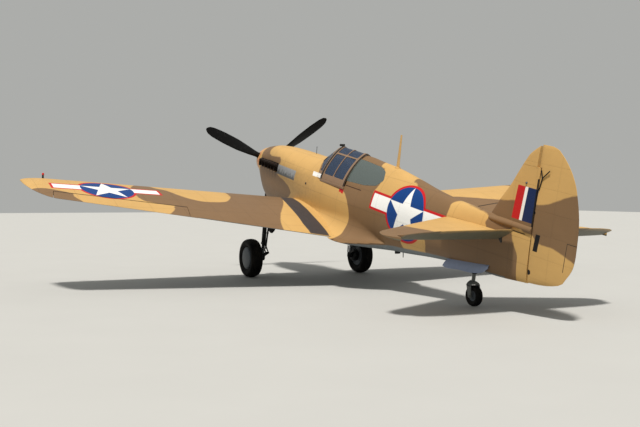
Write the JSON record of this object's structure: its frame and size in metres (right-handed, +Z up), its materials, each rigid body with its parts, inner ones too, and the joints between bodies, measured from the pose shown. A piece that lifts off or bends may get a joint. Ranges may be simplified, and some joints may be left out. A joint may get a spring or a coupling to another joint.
{
  "type": "low-wing fighter monoplane",
  "caption": "Single-seat low-wing fighter monoplane on tail-wheel gear, with turning propeller and wheels, moving tail and wing surfaces, split flaps and a sliding hood",
  "frame": {"origin": "centre of the bounding box, on the ground that the wheels stand on", "axes": "+Z up from the ground, nose towards -Y, left wing towards +X"},
  "size_m": [11.369, 10.083, 3.3932],
  "materials": {
    "camouflage": "flat sand and brown camouflage over blue-grey undersides",
    "spinner_paint": "satin sand paint with a reddish edge",
    "underside_paint": "flat blue-grey paint",
    "frame_paint": "flat brown paint",
    "propeller_paint": "satin black paint",
    "exhaust_metal": "heat-darkened steel",
    "engine_metal": "plain cast metal",
    "radiator_metal": "finned metal core",
    "gear_paint": "dark satin paint with bright oleo",
    "wheel_metal": "painted grey cover disc",
    "tyre_rubber": "plain black rubber",
    "window_glass": "clear glazing",
    "cockpit_paint": "flat interior green",
    "panel_paint": "flat black with plain dials",
    "stick_grip": "moulded grip"
  },
  "bodies": {
    "root": {"fuselage": "camouflage", "cowling": "camouflage", "radiators": "radiator_metal", "engine_block": "engine_metal", "exhaust_left": "exhaust_metal", "exhaust_right": "exhaust_metal", "main_leg_left": "gear_paint", "main_leg_right": "gear_paint", "tail_leg": "gear_paint", "tail_door_left": "underside_paint", "tail_door_right": "underside_paint", "wing_left": "camouflage", "wing_right": "camouflage", "tailplane": "camouflage", "fin": "camouflage", "windshield_frame": "frame_paint", "windshield_glass": "window_glass", "quarter_window_left": "window_glass", "quarter_window_right": "window_glass", "pilot_seat": "cockpit_paint", "armour_plate": "cockpit_paint", "instrument_panel": "panel_paint", "control_stick": "stick_grip", "antenna_mast": "camouflage"},
    "propeller": {"spinner": "spinner_paint", "blade_1": "propeller_paint", "blade_2": "propeller_paint", "blade_3": "propeller_paint"},
    "wheel_left": {"tyre_left": "tyre_rubber", "hub_left": "wheel_metal"},
    "wheel_right": {"tyre_right": "tyre_rubber", "hub_right": "wheel_metal"},
    "tail_fork": {"tail_fork": "gear_paint"},
    "tail_wheel": {"tail_tyre": "tyre_rubber", "tail_hub": "wheel_metal"},
    "rudder": {"rudder": "camouflage"},
    "elevators": {"elevator_left": "camouflage", "elevator_right": "camouflage"},
    "aileron_left": {"aileron_left": "camouflage"},
    "aileron_right": {"aileron_right": "camouflage"},
    "flap_left": {"flap_left": "underside_paint"},
    "flap_right": {"flap_right": "underside_paint"},
    "canopy": {"canopy_frame": "frame_paint", "canopy_glass": "window_glass"}
  },
  "joints": [
    {"name": "propeller_spin", "type": "hinge", "parent": "root", "child": "propeller", "pos_m": [0, -4.61844, 2.39818], "axis": [0, -0.9838, 0.1795], "continuous": true},
    {"name": "wheel_left_spin", "type": "hinge", "parent": "root", "child": "wheel_left", "pos_m": [1.25, -2.6993, 0.381], "axis": [1, 0, 0], "continuous": true},
    {"name": "wheel_right_spin", "type": "hinge", "parent": "root", "child": "wheel_right", "pos_m": [-1.25, -2.6993, 0.381], "axis": [1, 0, 0], "continuous": true},
    {"name": "tail_swivel", "type": "hinge", "parent": "root", "child": "tail_fork", "pos_m": [0, 2.87114, 0.38098], "axis": [0, 0.1795, 0.9838], "range_deg": [-30, 30]},
    {"name": "tail_wheel_spin", "type": "hinge", "parent": "tail_fork", "child": "tail_wheel", "pos_m": [0, 2.89163, 0.159], "axis": [1, 0, 0], "continuous": true},
    {"name": "rudder_turn", "type": "hinge", "parent": "root", "child": "rudder", "pos_m": [0, 4.1764, 0.79373], "axis": [0, 0.1795, 0.9838], "range_deg": [-30, 30]},
    {"name": "elevator_turn", "type": "hinge", "parent": "root", "child": "elevators", "pos_m": [0, 3.63098, 1.09145], "axis": [1, 0, 0], "range_deg": [-44, 6]},
    {"name": "aileron_left_turn", "type": "hinge", "parent": "root", "child": "aileron_left", "pos_m": [3.12, -1.09929, 1.36187], "axis": [0.9806, -0.1475, 0.129], "range_deg": [-15, 15]},
    {"name": "aileron_right_turn", "type": "hinge", "parent": "root", "child": "aileron_right", "pos_m": [-3.12, -1.09929, 1.36187], "axis": [0.9806, 0.1475, -0.129], "range_deg": [-15, 15]},
    {"name": "flap_left_turn", "type": "hinge", "parent": "root", "child": "flap_left", "pos_m": [0.62, -0.68114, 0.94195], "axis": [-0.979, 0.1459, -0.1424], "range_deg": [0, 45]},
    {"name": "flap_right_turn", "type": "hinge", "parent": "root", "child": "flap_right", "pos_m": [-0.62, -0.68114, 0.94195], "axis": [-0.979, -0.1459, 0.1424], "range_deg": [0, 45]},
    {"name": "canopy_slide", "type": "slide", "parent": "root", "child": "canopy", "axis": [0, 0.9838, -0.1795], "range_m": [0, 0.7]}
  ],
  "couplings": [
    {"joint": "aileron_right_turn", "follows": "aileron_left_turn", "ratio": -1},
    {"joint": "flap_right_turn", "follows": "flap_left_turn", "ratio": 1}
  ]
}
